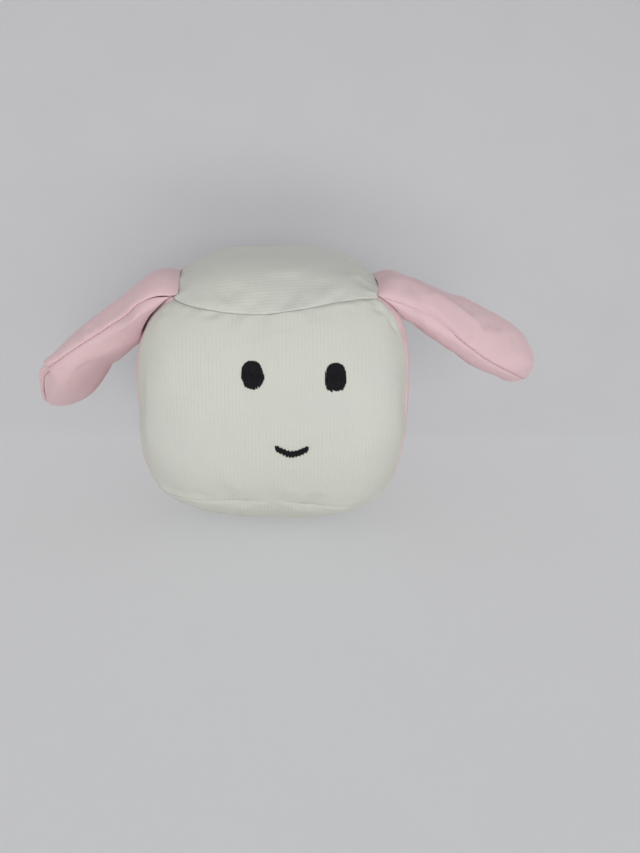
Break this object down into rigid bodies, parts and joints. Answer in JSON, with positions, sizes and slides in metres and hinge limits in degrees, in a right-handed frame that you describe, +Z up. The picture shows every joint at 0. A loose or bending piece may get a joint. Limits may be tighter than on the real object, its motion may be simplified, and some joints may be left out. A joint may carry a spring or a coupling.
{
  "type": "plush bunny block",
  "caption": "Soft stuffed block with an embroidered rabbit face on one side and two long padded ears sewn into the top side seams, which lift and droop.",
  "frame": {"origin": "middle of the flat patch that the block stands on, straight below the middle of the block", "axes": "+X across the face to the right of the picture, along the two ears; -Y the way the face looks; +Z up out of the crown"},
  "size_m": [0.2024, 0.1057, 0.1046],
  "materials": {
    "white_jersey": "matt fine-rib cotton jersey",
    "pink_jersey": "matt brushed cotton jersey",
    "black_embroidery": "satin-stitched embroidery thread",
    "white_thread": "matt sewing thread",
    "pink_thread": "matt sewing thread",
    "fibrefill": "loose polyester fibre",
    "embroidery_backing": "non-woven sheet"
  },
  "bodies": {
    "block": {"front_panel": "white_jersey", "back_panel": "white_jersey", "top_panel": "white_jersey", "bottom_panel": "white_jersey", "left_side_panel": "pink_jersey", "right_side_panel": "pink_jersey", "block_filling": "fibrefill", "face_backing": "embroidery_backing", "left_eye": "black_embroidery", "right_eye": "black_embroidery", "mouth": "black_embroidery", "top_seam_thread": "white_thread", "bottom_seam_thread": "white_thread", "front_left_seam_thread": "white_thread", "front_right_seam_thread": "white_thread", "back_left_seam_thread": "white_thread", "back_right_seam_thread": "white_thread", "closing_stitch": "white_thread"},
    "left_ear": {"left_ear_upper_face": "pink_jersey", "left_ear_under_face": "pink_jersey", "left_ear_filling": "fibrefill", "left_ear_seam_thread": "pink_thread"},
    "right_ear": {"right_ear_upper_face": "pink_jersey", "right_ear_under_face": "pink_jersey", "right_ear_filling": "fibrefill", "right_ear_seam_thread": "pink_thread"}
  },
  "joints": [
    {"name": "left_ear_lift", "type": "hinge", "parent": "block", "child": "left_ear", "pos_m": [-0.03623, -0.01901, 0.09326], "axis": [-0.0671, 0.9859, 0.1531], "range_deg": [-10, 120], "stiffness_Nm_per_rad": 0.01, "springref_deg": 2.01},
    {"name": "right_ear_lift", "type": "hinge", "parent": "block", "child": "right_ear", "pos_m": [0.03719, -0.01916, 0.09391], "axis": [-0.0098, -0.9935, -0.1137], "range_deg": [-10, 107], "stiffness_Nm_per_rad": 0.01, "springref_deg": 2.01}
  ]
}
